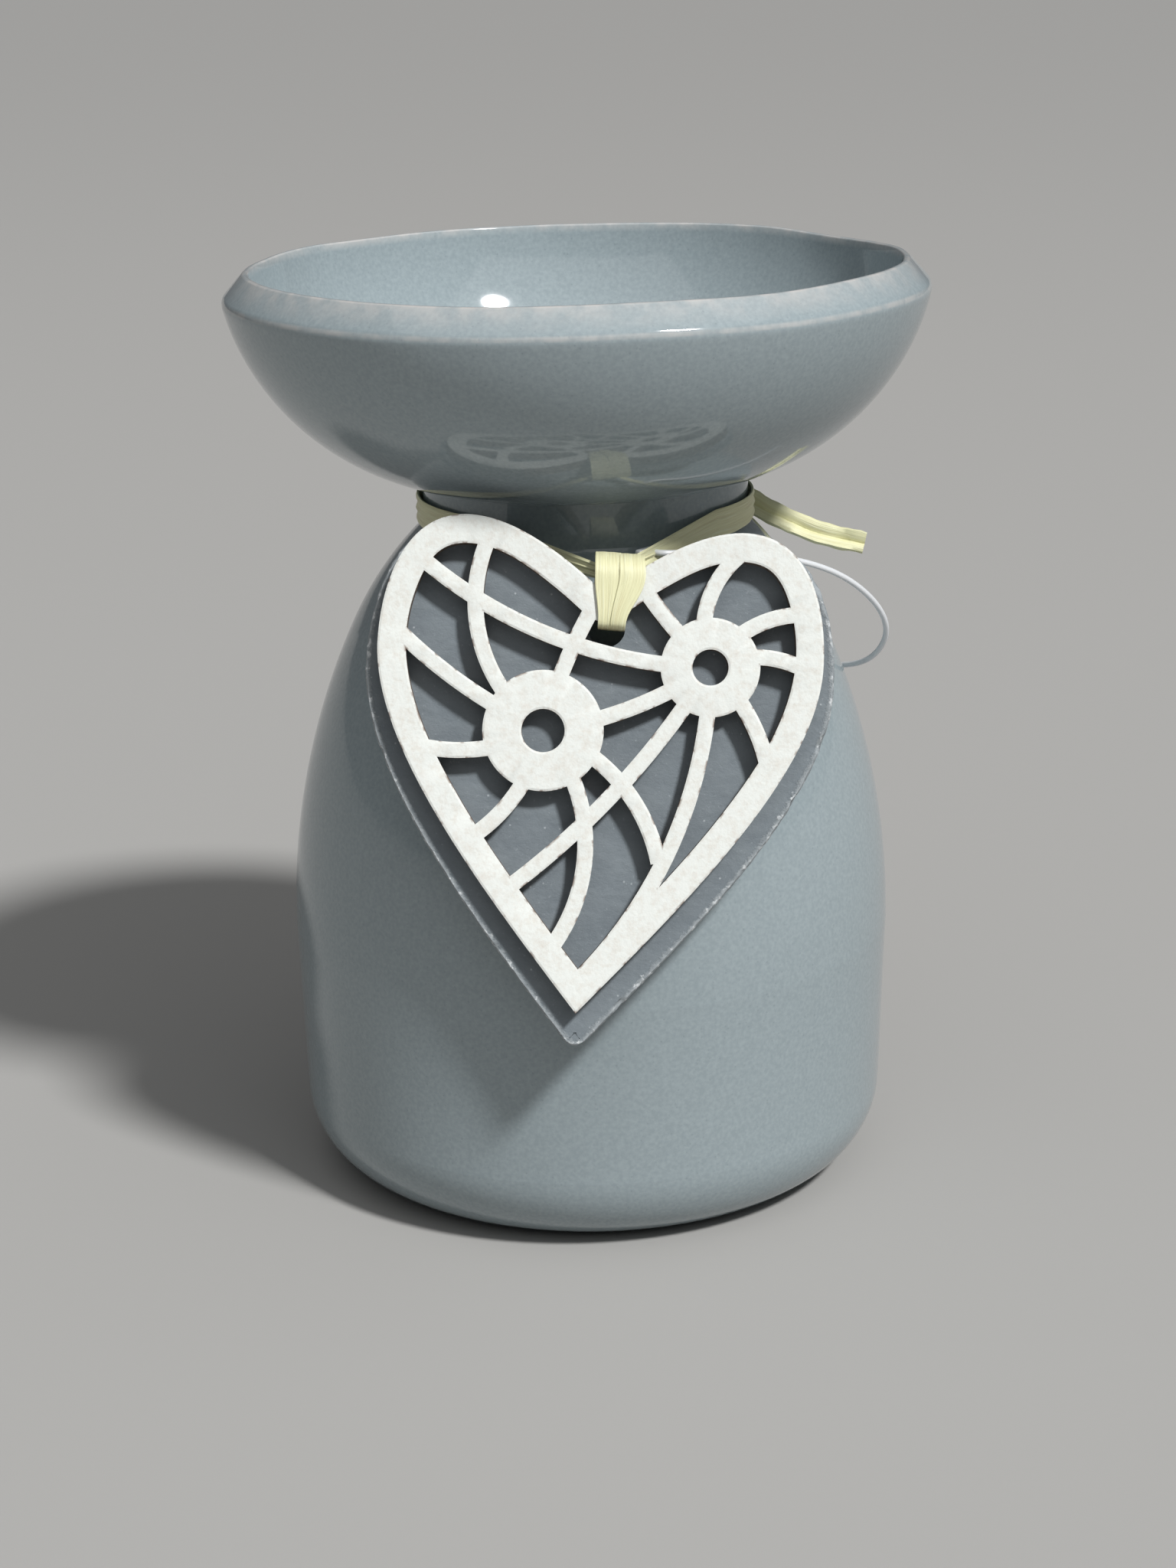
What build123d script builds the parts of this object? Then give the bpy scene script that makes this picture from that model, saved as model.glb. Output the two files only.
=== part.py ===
# Essential oil burner: a glazed dome with a rear arch for a tealight, an oil bowl luted on its neck,
# and a slate heart with a white fretwork heart that hangs from raffia in front.
# Millimetres. Z is up, the front faces -Y, the origin is the middle of the foot.
import os
from math import acos, asin, atan2, cos, degrees, hypot, pi, radians, sin, sqrt, tan

from build123d import *

os.makedirs("parts", exist_ok=True)

# Burner body
belly_radius = 46.1
belly_height = 39.0
dome_arc_radius = 110.0
shoulder_height = 86.0
shoulder_arc_radius = 52.0
base_radius = 44.9
foot_fillet = 12.5
neck_radius = 24.5
neck_fillet = 1.0
neck_height = 6.96
body_wall = 4.5
body_floor = 5.0

# Rear arch for the candle
arch_width = 54.0
arch_height = 50.0
arch_edge = 1.2

# Oil bowl, heights above its joint with the neck, wall as measured at the rim's crease
bowl_tilt = 0.7
bowl_shift = -0.5
bowl_foot_radius = 25.3
bowl_arc_radius = 37.2
rim_radius = 52.5
rim_height = 27.9
lip_height = 31.8
lip_width = 0.8
bowl_wall = 4.94
bowl_base = 3.67
well_radius = 16.2
rim_softness = 1.0
lip_softness = 0.35

# Tealight
tealight_radius = 19.0
tealight_height = 15.0
cup_wall = 0.4
cup_bead = 0.45
wax_height = 12.0
wick_radius = 0.8
wick_length = 17.0
sustainer_radius = 6.0
sustainer_sheet = 0.4
sustainer_collar_wall = 0.5
sustainer_collar_height = 3.5
wax_clearance = 0.1

# Heart outline, from the tip upwards along its axis
heart_half_width = 30.9
heart_widest = 49.8
heart_notch = 58.2
notch_lead = 31.4
notch_angle = 40.0
lobe_lead = 12.9
flank_lead = 14.6
tip_lead = 21.3
tip_angle = 49.0

# Slate and fretwork
slate_margin = 1.9
slate_side = 0.2
slate_drop = 3.0
slate_thickness = 4.0
fretwork_thickness = 3.0
frame_band = 3.9
spoke_width = 2.2
left_hub = (-7.2, 38.7)
left_hub_radius = 8.4
left_hub_bore = 3.0
right_hub = (15.3, 49.0)
right_hub_radius = 6.9
right_hub_bore = 2.5
hub_bridge_bulge = -1.4
spoke_meeting = (10.0, 21.5)
meeting_bulge = 3.3

# How the heart hangs: how far below the neck the slate would meet the dome, and where its tip lies
contact_drop = 29.34
rest_gap = 0.3
heart_turn = 4.8
heart_tip_side = -2.4
heart_tip_drop = 32.0

# Raffia
raffia_thickness = 0.9
raffia_gap = 0.35
band_width = 4.2
band_lift = 0.16
band_front_width = 2.0
strand_radius = 1.0
loop_side = 0.6
loop_reach = 1.3
loop_rise = 3.2
loop_bore = 2.5
loop_thickness = 0.7
loop_width = 3.0
loop_gap = 0.3
loop_seat = 0.4
loop_front_top_width = 7.0
loop_front_bottom_width = 3.6
loop_front_top_shift = 1.5
loop_front_bottom_shift = 0.65
slate_hole_radius = 2.6
knot_azimuth = 45.0
knot_length = 6.4
knot_depth = 2.8
knot_height = 4.0
knot_gap = 0.1
tail_width = 3.9
tail_gap = 0.6
right_tail_end = (43.5, 12.0, -9.8)
back_tail_end = (6.0, 37.0, -8.6)

# Nylon tag pin: its filament's course, from the cross-bar behind the band to the paddle behind the dome.
# Its heights, and those of the raffia's ends, are taken from the middle of the band.
pin_diameter = 0.9
pin_clearance = 0.3
pin_bar_thickness = 1.1
pin_bar_length = 5.0
pin_paddle_length = 7.0
pin_paddle_width = 3.0
pin_paddle_thickness = 0.9
pin_course = [
    (8.89, -26.31, -1.8),
    (11.15, -28.28, -1.9),
    (19.0, -22.3, -2.7),
    (30.5, -14.2, -5.9),
    (38.2, -9.0, -9.6),
    (44.0, -3.2, -15.4),
    (46.3, 1.0, -21.0),
    (44.6, 5.0, -26.0),
    (41.3, 11.0, -29.0),
    (37.6, 20.3, -31.0),
    (31.8, 29.6, -32.2),
]

# Burner body: slip-cast stoneware, one hollow dome with a closed floor and an open neck.
dome_centre = belly_radius - dome_arc_radius
shoulder_angle = asin((shoulder_height - belly_height) / dome_arc_radius)
shoulder_centre = (
    dome_centre + (dome_arc_radius - shoulder_arc_radius) * cos(shoulder_angle),
    belly_height + (dome_arc_radius - shoulder_arc_radius) * sin(shoulder_angle),
)
neck_bore = neck_radius - body_wall
neck_angle = acos((neck_radius - shoulder_centre[0]) / shoulder_arc_radius)
bore_angle = acos((neck_bore - shoulder_centre[0]) / (shoulder_arc_radius - body_wall))
neck_start = shoulder_centre[1] + shoulder_arc_radius * sin(neck_angle)
joint_height = neck_start + neck_height
neck_spare = neck_radius * tan(radians(bowl_tilt)) + 1.0
neck_end = joint_height + neck_spare

bowl_side = Vector(cos(radians(bowl_tilt)), 0, sin(radians(bowl_tilt)))
bowl_up = Vector(-sin(radians(bowl_tilt)), 0, cos(radians(bowl_tilt)))
joint_plane = Plane(origin=(0, 0, joint_height), x_dir=bowl_side, z_dir=bowl_up)
arch_plane = Plane(origin=(0, 0, body_floor), x_dir=(-1, 0, 0), z_dir=(0, 1, 0))
arch_spring = arch_height - arch_width / 2

with BuildPart() as burner_body:
    with BuildSketch(Plane.XZ) as dome_section:
        with BuildLine():
            Line((0, 0), (base_radius, 0))
            Line((base_radius, 0), (belly_radius, belly_height))
            CenterArc((dome_centre, belly_height), dome_arc_radius, 0, degrees(shoulder_angle))
            CenterArc(
                shoulder_centre,
                shoulder_arc_radius,
                degrees(shoulder_angle),
                degrees(neck_angle - shoulder_angle),
            )
            Polyline((neck_radius, neck_start), (neck_radius, neck_end), (0, neck_end), (0, 0))
        make_face()
        foot_corner = dome_section.vertices().sort_by_distance((base_radius, 0))[0]
        fillet(foot_corner, foot_fillet)
        neck_corner = dome_section.vertices().sort_by_distance((neck_radius, neck_start))[0]
        fillet(neck_corner, neck_fillet)
    revolve(axis=Axis.Z)
    with BuildSketch(Plane.XZ) as chamber_section:
        with BuildLine():
            Line((0, body_floor), (base_radius - body_wall, body_floor))
            Line((base_radius - body_wall, body_floor), (belly_radius - body_wall, belly_height))
            CenterArc((dome_centre, belly_height), dome_arc_radius - body_wall, 0, degrees(shoulder_angle))
            inner_shoulder = CenterArc(
                shoulder_centre,
                shoulder_arc_radius - body_wall,
                degrees(shoulder_angle),
                degrees(bore_angle - shoulder_angle),
            )
            Polyline(inner_shoulder @ 1, (neck_bore, neck_end), (0, neck_end), (0, body_floor))
        make_face()
        floor_corner = chamber_section.vertices().sort_by_distance((base_radius - body_wall, body_floor))[0]
        fillet(floor_corner, foot_fillet - body_wall)
    revolve(axis=Axis.Z, mode=Mode.SUBTRACT)
    split(bisect_by=joint_plane, keep=Keep.BOTTOM)
    with BuildSketch(arch_plane):
        with BuildLine():
            Polyline(
                (-arch_width / 2, arch_spring),
                (-arch_width / 2, 0),
                (arch_width / 2, 0),
                (arch_width / 2, arch_spring),
            )
            ThreePointArc((arch_width / 2, arch_spring), (0, arch_height), (-arch_width / 2, arch_spring))
        make_face()
    extrude(amount=2 * belly_radius, mode=Mode.SUBTRACT)
    arch_outside = base_radius - body_wall / 2
    arch_rim = burner_body.edges().filter_by(
        lambda e: (e @ 0.5).Y > 0
        and abs((e @ 0.5).X) < arch_width / 2 + arch_edge
        and e.geom_type != GeomType.LINE
        and body_floor - arch_edge < (e @ 0.5).Z < body_floor + arch_height + arch_edge
        and hypot((e @ 0.5).X, (e @ 0.5).Y) > arch_outside
    )
    fillet(arch_rim, arch_edge)
burner_body.part.label = "burner_body"
export_step(burner_body.part, "parts/burner_body.step")

# Oil bowl: thrown to one wall, bevelled outside the lip, luted on the neck a little out of true.
bowl_origin = joint_plane.from_local_coords((bowl_shift, 0, 0))
bowl_plane = Plane(origin=bowl_origin, x_dir=bowl_side, z_dir=(0, -1, 0))
wall_chord = Vector(rim_radius - bowl_foot_radius, rim_height)
wall_middle = Vector((rim_radius + bowl_foot_radius) / 2, rim_height / 2)
centre_offset = sqrt(bowl_arc_radius**2 - (wall_chord.length / 2) ** 2) / wall_chord.length
bowl_centre = wall_middle + Vector(-wall_chord.Y, wall_chord.X) * centre_offset
inner_rise = rim_height - bowl_base
inner_radius = ((rim_radius - bowl_wall - well_radius) ** 2 + inner_rise**2) / (2 * inner_rise)
inner_centre = bowl_base + inner_radius
lip_inner = well_radius + sqrt(inner_radius**2 - (lip_height - inner_centre) ** 2)
lip_radius = lip_inner + lip_width
foot_angle = degrees(atan2(-bowl_centre.Y, bowl_foot_radius - bowl_centre.X))
rim_angle = degrees(atan2(rim_height - bowl_centre.Y, rim_radius - bowl_centre.X))
lip_angle = degrees(atan2(lip_height - inner_centre, lip_inner - well_radius))

with BuildPart() as oil_bowl:
    with BuildSketch(bowl_plane) as bowl_section:
        with BuildLine():
            Line((0, 0), (bowl_foot_radius, 0))
            CenterArc((bowl_centre.X, bowl_centre.Y), bowl_arc_radius, foot_angle, rim_angle - foot_angle)
            Polyline((rim_radius, rim_height), (lip_radius, lip_height), (lip_inner, lip_height))
            CenterArc((well_radius, inner_centre), inner_radius, -90, lip_angle + 90)
            Polyline((well_radius, bowl_base), (0, bowl_base), (0, 0))
        make_face()
        fillet(bowl_section.vertices().sort_by(Axis.X)[-1], rim_softness)
        fillet(bowl_section.vertices().group_by(Axis.Y)[-1], lip_softness)
    revolve(axis=Axis(bowl_origin, bowl_up))
oil_bowl.part.label = "oil_bowl"
export_step(oil_bowl.part, "parts/oil_bowl.step")

# Tealight cup: drawn aluminium with a rolled edge. It stands on the chamber's floor.
candle_plane = Plane(origin=(0, 0, body_floor), x_dir=(1, 0, 0), z_dir=(0, -1, 0))
cup_inner = tealight_radius - cup_wall

with BuildPart() as tealight_cup:
    with BuildSketch(candle_plane):
        with BuildLine():
            Polyline(
                (0, 0),
                (tealight_radius, 0),
                (tealight_radius, tealight_height),
                (cup_inner, tealight_height),
                (cup_inner, cup_wall),
                (0, cup_wall),
                close=True,
            )
        make_face()
        with Locations((tealight_radius, tealight_height - cup_bead)):
            Circle(cup_bead)
    revolve(axis=Axis.Z)
tealight_cup.part.label = "tealight_cup"
export_step(tealight_cup.part, "parts/tealight_cup.step")

# Wick sustainer: a tinplate disc on the cup's floor with a collar that grips the wick.
collar_bore = wick_radius + wax_clearance
collar_radius = collar_bore + sustainer_collar_wall
sheet_top = cup_wall + sustainer_sheet
collar_top = sheet_top + sustainer_collar_height

with BuildPart() as wick_sustainer:
    with BuildSketch(candle_plane):
        with BuildLine():
            Polyline(
                (0, cup_wall),
                (sustainer_radius, cup_wall),
                (sustainer_radius, sheet_top),
                (collar_radius, sheet_top),
                (collar_radius, collar_top),
                (collar_bore, collar_top),
                (collar_bore, sheet_top),
                (0, sheet_top),
                close=True,
            )
        make_face()
    revolve(axis=Axis.Z)
wick_sustainer.part.label = "wick_sustainer"
export_step(wick_sustainer.part, "parts/wick_sustainer.step")

# Wick: waxed cotton, standing in the collar.
with BuildPart() as tealight_wick:
    with Locations((0, 0, body_floor + sheet_top)):
        Cylinder(wick_radius, wick_length, align=(Align.CENTER, Align.CENTER, Align.MIN))
tealight_wick.part.label = "tealight_wick"
export_step(tealight_wick.part, "parts/tealight_wick.step")

# Wax: cast round the sustainer and the wick.
wax_radius = cup_inner - wax_clearance
wax_top = cup_wall + wax_height

with BuildPart() as tealight_wax:
    with BuildSketch(candle_plane):
        with BuildLine():
            Polyline(
                (sustainer_radius + wax_clearance, cup_wall),
                (wax_radius, cup_wall),
                (wax_radius, wax_top),
                (collar_bore, wax_top),
                (collar_bore, collar_top + wax_clearance),
                (collar_radius + wax_clearance, collar_top + wax_clearance),
                (collar_radius + wax_clearance, sheet_top + wax_clearance),
                (sustainer_radius + wax_clearance, sheet_top + wax_clearance),
                close=True,
            )
        make_face()
    revolve(axis=Axis.Z)
tealight_wax.part.label = "tealight_wax"
export_step(tealight_wax.part, "parts/tealight_wax.step")

# Plane of the hanging heart: tangent to the dome's front, turned a little about its own normal.
# Its origin is the heart's tip, on the back of the slate.
contact_height = neck_start - contact_drop
lean = asin((contact_height - belly_height) / dome_arc_radius)
plate_out = Vector(0, -cos(lean), sin(lean))
contact_point = Vector(0, -(dome_centre + dome_arc_radius * cos(lean)), contact_height)
plate_plane = Plane(origin=contact_point + plate_out * rest_gap, x_dir=(1, 0, 0), z_dir=plate_out)
heart_plane = Plane(
    origin=plate_plane.from_local_coords((heart_tip_side, -heart_tip_drop, 0)),
    x_dir=plate_plane.x_dir * cos(radians(heart_turn)) - plate_plane.y_dir * sin(radians(heart_turn)),
    z_dir=plate_out,
)
fretwork_back = slate_thickness
fretwork_front = slate_thickness + fretwork_thickness

with BuildSketch() as heart_outline:
    with BuildLine():
        lobe = Bezier(
            (0, heart_notch),
            (notch_lead * cos(radians(notch_angle)), heart_notch + notch_lead * sin(radians(notch_angle))),
            (heart_half_width, heart_widest + lobe_lead),
            (heart_half_width, heart_widest),
        )
        flank = Bezier(
            (heart_half_width, heart_widest),
            (heart_half_width, heart_widest - flank_lead),
            (tip_lead * cos(radians(tip_angle)), tip_lead * sin(radians(tip_angle))),
            (0, 0),
        )
        mirror(about=Plane.YZ)
    make_face()

# Opening of the heart's frame: the same outline drawn in by the width of the band.
lobe_steps = (0, 0.2, 0.4, 0.6, 0.8, 1)
flank_steps = (0.2, 0.4, 0.6, 0.8)
inner_side = [(lobe @ t) + Vector((lobe % t).Y, -(lobe % t).X) * frame_band for t in lobe_steps]
inner_side += [(flank @ t) + Vector((flank % t).Y, -(flank % t).X) * frame_band for t in flank_steps]
inner_side += [Vector(0, frame_band / cos(radians(tip_angle)))]
with BuildSketch() as frame_opening:
    with BuildLine():
        Spline(*inner_side, tangents=(lobe % 0, flank % 1))
        mirror(about=Plane.YZ)
        ThreePointArc((-inner_side[0].X, inner_side[0].Y), (0, heart_notch - frame_band), inner_side[0])
    make_face()

# Raffia loop over the notch: where its lowest strand passes under the fretwork's frame.
notch_frame = heart_notch - frame_band
loop_bottom = notch_frame - loop_seat
loop_top = heart_notch + loop_rise

# Slate heart: split slate, drilled under the notch for the raffia. It stands out round the fretwork by
# one margin, with a rounded tip, and lies a little lower and to the right.
slate_origin = heart_plane.from_local_coords((slate_side, -slate_drop, 0))
slate_plane = Plane(origin=slate_origin, x_dir=heart_plane.x_dir, z_dir=plate_out)
slate_edge = [Vector(0, heart_notch + slate_margin / cos(radians(notch_angle)))]
slate_edge += [(lobe @ t) - Vector((lobe % t).Y, -(lobe % t).X) * slate_margin for t in lobe_steps[1:]]
slate_edge += [
    (flank @ t) - Vector((flank % t).Y, -(flank % t).X) * slate_margin for t in (*flank_steps, 1)
]
with BuildSketch() as slate_outline:
    with BuildLine():
        Spline(*slate_edge, tangents=(lobe % 0, flank % 1))
        mirror(about=Plane.YZ)
        ThreePointArc(slate_edge[-1], (0, -slate_margin), (-slate_edge[-1].X, slate_edge[-1].Y))
    make_face()

with BuildPart() as slate_heart:
    with BuildSketch(slate_plane):
        add(slate_outline.sketch)
    extrude(amount=slate_thickness)
    with BuildSketch(heart_plane):
        with Locations((loop_side, loop_bottom - loop_thickness / 2)):
            Circle(slate_hole_radius)
    extrude(amount=slate_thickness, mode=Mode.SUBTRACT)
slate_heart.part.label = "slate_heart"
export_step(slate_heart.part, "parts/slate_heart.step")

# Fretwork heart: laser-cut fibreboard, painted white, glued flat on the slate.
# Each spoke runs from a hub to a place along the lobe or the flank of the heart's right (1) or left (-1)
# side, and is bowed to its own left by its bulge. Two more join the hubs, and a hub and another spoke.
spokes = (
    (left_hub, -1, lobe, 0.393, 5.9),
    (left_hub, -1, lobe, 0.919, 1.4),
    (left_hub, -1, flank, 0.242, 2.0),
    (left_hub, -1, flank, 0.522, 2.3),
    (left_hub, -1, flank, 0.855, 6.2),
    (left_hub, -1, lobe, 0.009, 0.8),
    (right_hub, -1, lobe, 0.7, 4.2),
    (right_hub, 1, lobe, 0.107, 0.5),
    (right_hub, 1, lobe, 0.546, 4.2),
    (right_hub, 1, lobe, 0.839, 2.6),
    (right_hub, 1, flank, 0.028, 2.3),
    (right_hub, 1, flank, 0.318, 1.9),
    (right_hub, -1, flank, 0.948, 5.2),
    (right_hub, -1, flank, 0.672, 2.2),
)
spoke_runs = [
    (hub, Vector(side * (edge @ place).X, (edge @ place).Y), bulge)
    for hub, side, edge, place, bulge in spokes
]
spoke_runs.append((left_hub, Vector(right_hub), hub_bridge_bulge))
spoke_runs.append((left_hub, Vector(spoke_meeting), meeting_bulge))
with BuildSketch() as fretwork_outline:
    add(heart_outline.sketch)
    add(frame_opening.sketch, mode=Mode.SUBTRACT)
    for start, end, bulge in spoke_runs:
        reach = end - Vector(start)
        bow = Vector(-reach.Y, reach.X).normalized() * bulge
        with BuildLine() as spoke:
            ThreePointArc(start, (Vector(start) + end) / 2 + bow, end)
        trace(spoke.line, line_width=spoke_width)
    with Locations(left_hub):
        Circle(left_hub_radius)
        Circle(left_hub_bore, mode=Mode.SUBTRACT)
    with Locations(right_hub):
        Circle(right_hub_radius)
        Circle(right_hub_bore, mode=Mode.SUBTRACT)
    add(heart_outline.sketch, mode=Mode.INTERSECT)

fretwork_plane = heart_plane.offset(fretwork_back)
with BuildPart() as fretwork_heart:
    with BuildSketch(fretwork_plane):
        add(fretwork_outline.sketch)
    extrude(amount=fretwork_thickness)
fretwork_heart.part.label = "fretwork_heart"
export_step(fretwork_heart.part, "parts/fretwork_heart.step")

# Raffia band: a flat strip round the neck, drawn together and down to the heart's notch in front.
strand = heart_plane.from_local_coords((loop_side, loop_top, loop_reach))
strand_reach = hypot(strand.X, strand.Y)
band_turn = atan2(strand.X, -strand.Y)
band_side = Vector(cos(band_turn), sin(band_turn), 0)
band_back = Vector(-sin(band_turn), cos(band_turn), 0)
band_height = neck_start + band_lift + band_width / 2
band_inner = neck_radius + raffia_gap
band_outer = band_inner + raffia_thickness
band_front = -strand_reach - strand_radius
band_leave = -band_outer * band_outer / strand_reach
band_low = strand.Z - band_width
band_plane = Plane(origin=(0, 0, band_low), x_dir=band_side, z_dir=(0, 0, 1))
band_side_plane = Plane(origin=(0, 0, 0), x_dir=band_back, z_dir=band_side)

pin_route = [Vector(x, y, band_height + rise) for x, y, rise in pin_course]
pin_first_run = (pin_route[1] - pin_route[0]).length
pin_heading = (pin_route[1] - pin_route[0]).normalized()
pin_plane = Plane(origin=pin_route[0], x_dir=pin_heading.cross(Vector(0, 0, 1)), z_dir=pin_heading)

with BuildSketch() as band_inside:
    with BuildLine():
        CenterArc((0, 0), band_inner, 0, 360)
        CenterArc((0, -strand_reach), strand_radius - raffia_thickness, 0, 360)
    make_hull()

with BuildPart() as raffia_band:
    with BuildSketch(band_plane):
        with BuildLine():
            CenterArc((0, 0), band_outer, 0, 360)
            CenterArc((0, -strand_reach), strand_radius, 0, 360)
        make_hull()
        add(band_inside.sketch, mode=Mode.SUBTRACT)
    extrude(amount=band_height + band_width - band_low)
    with BuildSketch(band_side_plane):
        Polygon(
            (band_outer, band_height - band_width / 2),
            (band_outer, band_height + band_width / 2),
            (band_leave, band_height + band_width / 2),
            (band_front, strand.Z + band_front_width / 2),
            (band_front, strand.Z - band_front_width / 2),
            (band_leave, band_height - band_width / 2),
            align=None,
        )
    extrude(amount=band_outer + 1, both=True, mode=Mode.INTERSECT)
    with BuildSketch(pin_plane):
        Circle(pin_diameter / 2 + pin_clearance)
    extrude(amount=pin_first_run, mode=Mode.SUBTRACT)
raffia_band.part.label = "raffia_band"
export_step(raffia_band.part, "parts/raffia_band.step")

# Raffia loop: goes over the band's front strand, down over the notch, back through fretwork and slate,
# and carries the heart. Its front is spread flat.
loop_plane = Plane(
    origin=heart_plane.from_local_coords((loop_side, 0, 0)), x_dir=plate_out, z_dir=heart_plane.x_dir * -1
)
loop_front = fretwork_front + loop_gap
loop_low_middle = loop_side + loop_front_bottom_shift
loop_high_middle = loop_side + loop_front_top_shift
loop_front_top = heart_notch + loop_width / 2 * tan(radians(notch_angle)) + 2 * loop_gap
with BuildSketch() as loop_inside:
    with BuildLine():
        Polyline((-loop_gap, loop_bottom), (loop_front, loop_bottom), (loop_front, loop_front_top))
        CenterArc((loop_reach, loop_top), loop_bore, 0, 360)
    make_hull()

with BuildPart() as raffia_loop:
    with BuildSketch(loop_plane):
        add(loop_inside.sketch)
        offset(amount=loop_thickness)
        add(loop_inside.sketch, mode=Mode.SUBTRACT)
    extrude(amount=loop_width / 2, both=True)
    with BuildSketch(heart_plane.offset(loop_front)):
        Polygon(
            (loop_low_middle - loop_front_bottom_width / 2, loop_bottom - loop_thickness),
            (loop_low_middle + loop_front_bottom_width / 2, loop_bottom - loop_thickness),
            (loop_high_middle + loop_front_top_width / 2, loop_front_top),
            (loop_high_middle - loop_front_top_width / 2, loop_front_top),
            align=None,
        )
    extrude(amount=loop_thickness)
raffia_loop.part.label = "raffia_loop"
export_step(raffia_loop.part, "parts/raffia_loop.step")

# Raffia knot: the lump where the two ends are tied, on the band behind the neck.
knot_inner = band_outer + knot_gap
knot_outer = knot_inner + knot_depth
knot_half = degrees(knot_length / 2 / knot_inner)
with BuildPart() as raffia_knot:
    with BuildSketch(Plane.XY.offset(band_height - knot_height / 2)):
        with BuildLine():
            outside = CenterArc((0, 0), knot_outer, knot_azimuth - knot_half, 2 * knot_half)
            inside = CenterArc((0, 0), knot_inner, knot_azimuth - knot_half, 2 * knot_half)
            Line(outside @ 0, inside @ 0)
            Line(outside @ 1, inside @ 1)
        make_face()
    extrude(amount=knot_height)
    fillet(raffia_knot.edges().filter_by(Axis.Z), knot_depth / 4)
raffia_knot.part.label = "raffia_knot"
export_step(raffia_knot.part, "parts/raffia_knot.step")

# Raffia tails: the two cut ends that stick out of the knot.
knot_middle = (knot_inner + knot_outer) / 2
tail_root = band_height - knot_height / 4
right_angle = radians(knot_azimuth - knot_half) - tail_gap / knot_middle
right_start = Vector(knot_middle * cos(right_angle), knot_middle * sin(right_angle), tail_root)
right_run = Vector(right_tail_end) + Vector(0, 0, band_height) - right_start
with BuildPart() as raffia_tail_right:
    with BuildSketch(Plane(origin=right_start, x_dir=right_run.cross(Vector(0, 0, 1)), z_dir=right_run)):
        Rectangle(raffia_thickness, tail_width)
    extrude(amount=right_run.length)
raffia_tail_right.part.label = "raffia_tail_right"
export_step(raffia_tail_right.part, "parts/raffia_tail_right.step")

back_angle = radians(knot_azimuth + knot_half) + tail_gap / knot_middle
back_start = Vector(knot_middle * cos(back_angle), knot_middle * sin(back_angle), tail_root)
back_run = Vector(back_tail_end) + Vector(0, 0, band_height) - back_start
with BuildPart() as raffia_tail_back:
    with BuildSketch(Plane(origin=back_start, x_dir=back_run.cross(Vector(0, 0, 1)), z_dir=back_run)):
        Rectangle(raffia_thickness, tail_width)
    extrude(amount=back_run.length)
raffia_tail_back.part.label = "raffia_tail_back"
export_step(raffia_tail_back.part, "parts/raffia_tail_back.step")

# Tag pin: a thin nylon filament moulded with a cross-bar, which is caught behind the band,
# and with a flat paddle, which held a tag behind the dome.
with BuildPart() as tag_pin_bar:
    with BuildSketch(pin_plane.offset(-pin_bar_thickness / 2)):
        Rectangle(pin_bar_length, pin_bar_thickness)
    extrude(amount=pin_bar_thickness)
tag_pin_bar.part.label = "tag_pin_bar"
export_step(tag_pin_bar.part, "parts/tag_pin_bar.step")

pin_points = [pin_route[0] + pin_heading * pin_bar_thickness / 2] + pin_route[1:]
pin_runs = [b - a for a, b in zip(pin_points, pin_points[1:])]
pin_radii = [
    0.45 * min(a.length, b.length) / tan(radians(a.get_angle(b)) / 2)
    for a, b in zip(pin_runs, pin_runs[1:])
]
with BuildPart() as tag_pin:
    with BuildLine() as pin_path:
        FilletPolyline(*pin_points, radius=pin_radii)
    with BuildSketch(Plane(origin=pin_points[0], x_dir=pin_plane.x_dir, z_dir=pin_heading)):
        Circle(pin_diameter / 2)
    sweep(path=pin_path.wire())
tag_pin.part.label = "tag_pin"
export_step(tag_pin.part, "parts/tag_pin.step")
print("tag pin length", round(pin_path.wire().length, 2), "radii", [round(r, 1) for r in pin_radii])
print("tag pin volume", round(tag_pin.part.volume, 3), "section x length",
      round(pi * pin_diameter**2 / 4 * pin_path.wire().length, 3))

paddle_heading = pin_runs[-1].normalized()
paddle_side = paddle_heading.cross(Vector(0, 0, 1))
paddle_plane = Plane(origin=pin_points[-1], x_dir=paddle_side, z_dir=paddle_heading)
with BuildPart() as tag_pin_paddle:
    with BuildSketch(paddle_plane):
        Rectangle(pin_paddle_thickness, pin_paddle_width)
    extrude(amount=pin_paddle_length)
tag_pin_paddle.part.label = "tag_pin_paddle"
export_step(tag_pin_paddle.part, "parts/tag_pin_paddle.step")
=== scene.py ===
# Essential oil burner, in metres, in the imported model's own frame: Z up, the heart on the -Y side.
import math

import bmesh
import bpy
from mathutils import Matrix, Vector, noise


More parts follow.
